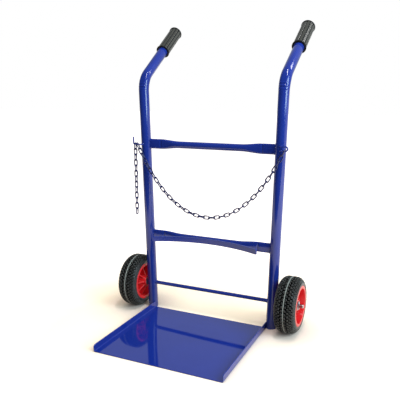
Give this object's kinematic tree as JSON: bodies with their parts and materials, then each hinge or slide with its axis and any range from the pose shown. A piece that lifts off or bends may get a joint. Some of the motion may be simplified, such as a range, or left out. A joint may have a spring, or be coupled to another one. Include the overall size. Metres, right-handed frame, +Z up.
{
  "type": "gas cylinder cart",
  "caption": "Two-wheeled tubular hand cart with a toe plate, a curved saddle and a retaining chain for an oxygen and an acetylene cylinder.",
  "frame": {"origin": "middle of the toe plate's underside, on the floor", "axes": "+X to the cart's left seen by someone who pushes it, which is to the right in a view of its front; +Y to its back, where the handles point; +Z up"},
  "size_m": [0.7364, 0.7098, 1.1104],
  "materials": {
    "frame_paint": "glossy blue powder coat",
    "chain_paint": "dark blue coat on steel chain",
    "grip_rubber": "ribbed grey rubber",
    "tyre": "black rubber with a block tread",
    "rim_plastic": "red moulded plastic",
    "bush": "pale nylon",
    "zinc": "zinc plate"
  },
  "bodies": {
    "frame": {"left_upright": "frame_paint", "right_upright": "frame_paint", "upper_crossbar": "frame_paint", "lower_crossbar": "frame_paint", "cylinder_saddle": "frame_paint", "toe_plate": "frame_paint", "axle": "frame_paint", "left_grip": "grip_rubber", "right_grip": "grip_rubber", "chain_hook": "frame_paint", "chain_eye": "frame_paint", "inner_washers": "zinc", "outer_washers": "zinc", "split_pins": "zinc"},
    "left_wheel": {"left_tyre": "tyre", "left_rim": "rim_plastic", "left_bushes": "bush"},
    "right_wheel": {"right_tyre": "tyre", "right_rim": "rim_plastic", "right_bushes": "bush"},
    "swag": {"swag_chain": "chain_paint"},
    "tail": {"tail_chain": "chain_paint"}
  },
  "joints": [
    {"name": "left_wheel_spin", "type": "hinge", "parent": "frame", "child": "left_wheel", "pos_m": [-0.32, 0.2175, 0.1035], "axis": [1, 0, 0], "continuous": true},
    {"name": "right_wheel_spin", "type": "hinge", "parent": "frame", "child": "right_wheel", "pos_m": [0.32, 0.2175, 0.1035], "axis": [1, 0, 0], "continuous": true},
    {"name": "swag_swing", "type": "hinge", "parent": "frame", "child": "swag", "pos_m": [0, 0.1885, 0.658], "axis": [-1, 0, 0], "range_deg": [0, 90]},
    {"name": "tail_swing", "type": "hinge", "parent": "frame", "child": "tail", "pos_m": [-0.2971, 0.1885, 0.658], "axis": [-1, 0, 0], "range_deg": [-90, 90]}
  ]
}
